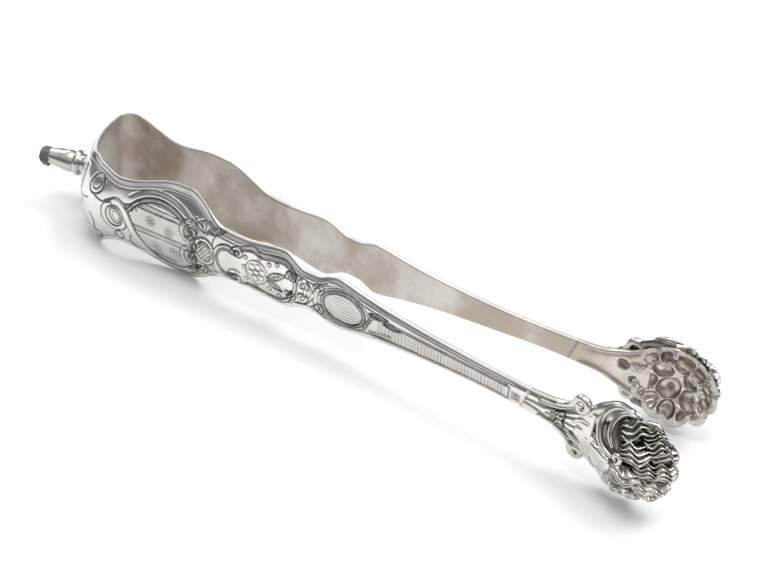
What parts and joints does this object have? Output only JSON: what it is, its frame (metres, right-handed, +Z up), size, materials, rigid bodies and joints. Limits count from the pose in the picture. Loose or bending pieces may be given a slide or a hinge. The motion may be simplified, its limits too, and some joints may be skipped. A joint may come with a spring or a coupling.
{
  "type": "ice tongs",
  "caption": "Sprung silver tongs: a bent bow with a turned finial, two chased tapering arms and cast shell-shaped grips that close on a lump of ice.",
  "frame": {"origin": "middle of the length and width, on the surface the tongs lie on", "axes": "+X along the tongs from the bow to the tips, +Y towards the left arm, +Z up, across the width of the strip"},
  "size_m": [0.161, 0.0316, 0.0225],
  "materials": {
    "silver": "hand-polished silver with fine wear and dark tarnish left in the chasing",
    "cast_silver": "cast and chased silver, warm tarnish in the hollows",
    "dark_silver": "rough, blackened silver"
  },
  "bodies": {
    "bow": {"bow_spring": "silver", "finial_foot": "silver", "finial_stem": "silver", "finial_tip": "dark_silver", "finial_rivet": "silver"},
    "left_side": {"left_arm": "silver", "left_terminal": "cast_silver"},
    "right_side": {"right_arm": "silver", "right_terminal": "cast_silver"}
  },
  "joints": [
    {"name": "left_arm_squeeze", "type": "hinge", "parent": "bow", "child": "left_side", "pos_m": [-0.05398, 0.01065, 0.01125], "axis": [0, 0, -1], "range_deg": [-1.5, 4.3], "stiffness_Nm_per_rad": 4},
    {"name": "right_arm_squeeze", "type": "hinge", "parent": "bow", "child": "right_side", "pos_m": [-0.05398, -0.01065, 0.01125], "axis": [0, 0, 1], "range_deg": [-1.5, 4.3], "stiffness_Nm_per_rad": 4}
  ]
}
